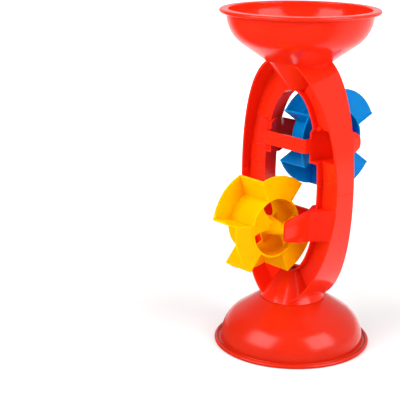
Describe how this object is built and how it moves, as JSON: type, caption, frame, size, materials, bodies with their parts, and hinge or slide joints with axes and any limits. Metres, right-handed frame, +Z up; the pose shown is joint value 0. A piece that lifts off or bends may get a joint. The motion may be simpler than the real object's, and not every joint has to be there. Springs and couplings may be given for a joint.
{
  "type": "sand wheel toy",
  "caption": "Plastic sand mill toy: a red funnel over an oval two-part frame on a bell-shaped base, with a blue and a yellow bladed wheel that spin freely.",
  "frame": {"origin": "centre of the ground under the base", "axes": "+Z up, +X from the left arm to the right arm of the oval frame, parallel to both axles; -Y is the front, where the lower wheel hangs"},
  "size_m": [0.15, 0.1742, 0.32],
  "materials": {
    "red_plastic": "glossy moulded polypropylene",
    "blue_plastic": "glossy moulded polypropylene",
    "yellow_plastic": "glossy moulded polypropylene"
  },
  "bodies": {
    "frame": {"funnel": "red_plastic", "base": "red_plastic", "upper_half_frame": "red_plastic", "lower_half_frame": "red_plastic"},
    "upper_spinner": {"upper_wheel": "blue_plastic"},
    "lower_spinner": {"lower_wheel": "yellow_plastic"}
  },
  "joints": [
    {"name": "upper_wheel_spin", "type": "hinge", "parent": "frame", "child": "upper_spinner", "pos_m": [0, 0.0391, 0.1967], "axis": [1, 0, 0], "continuous": true},
    {"name": "lower_wheel_spin", "type": "hinge", "parent": "frame", "child": "lower_spinner", "pos_m": [0, -0.0391, 0.1251], "axis": [1, 0, 0], "continuous": true}
  ]
}
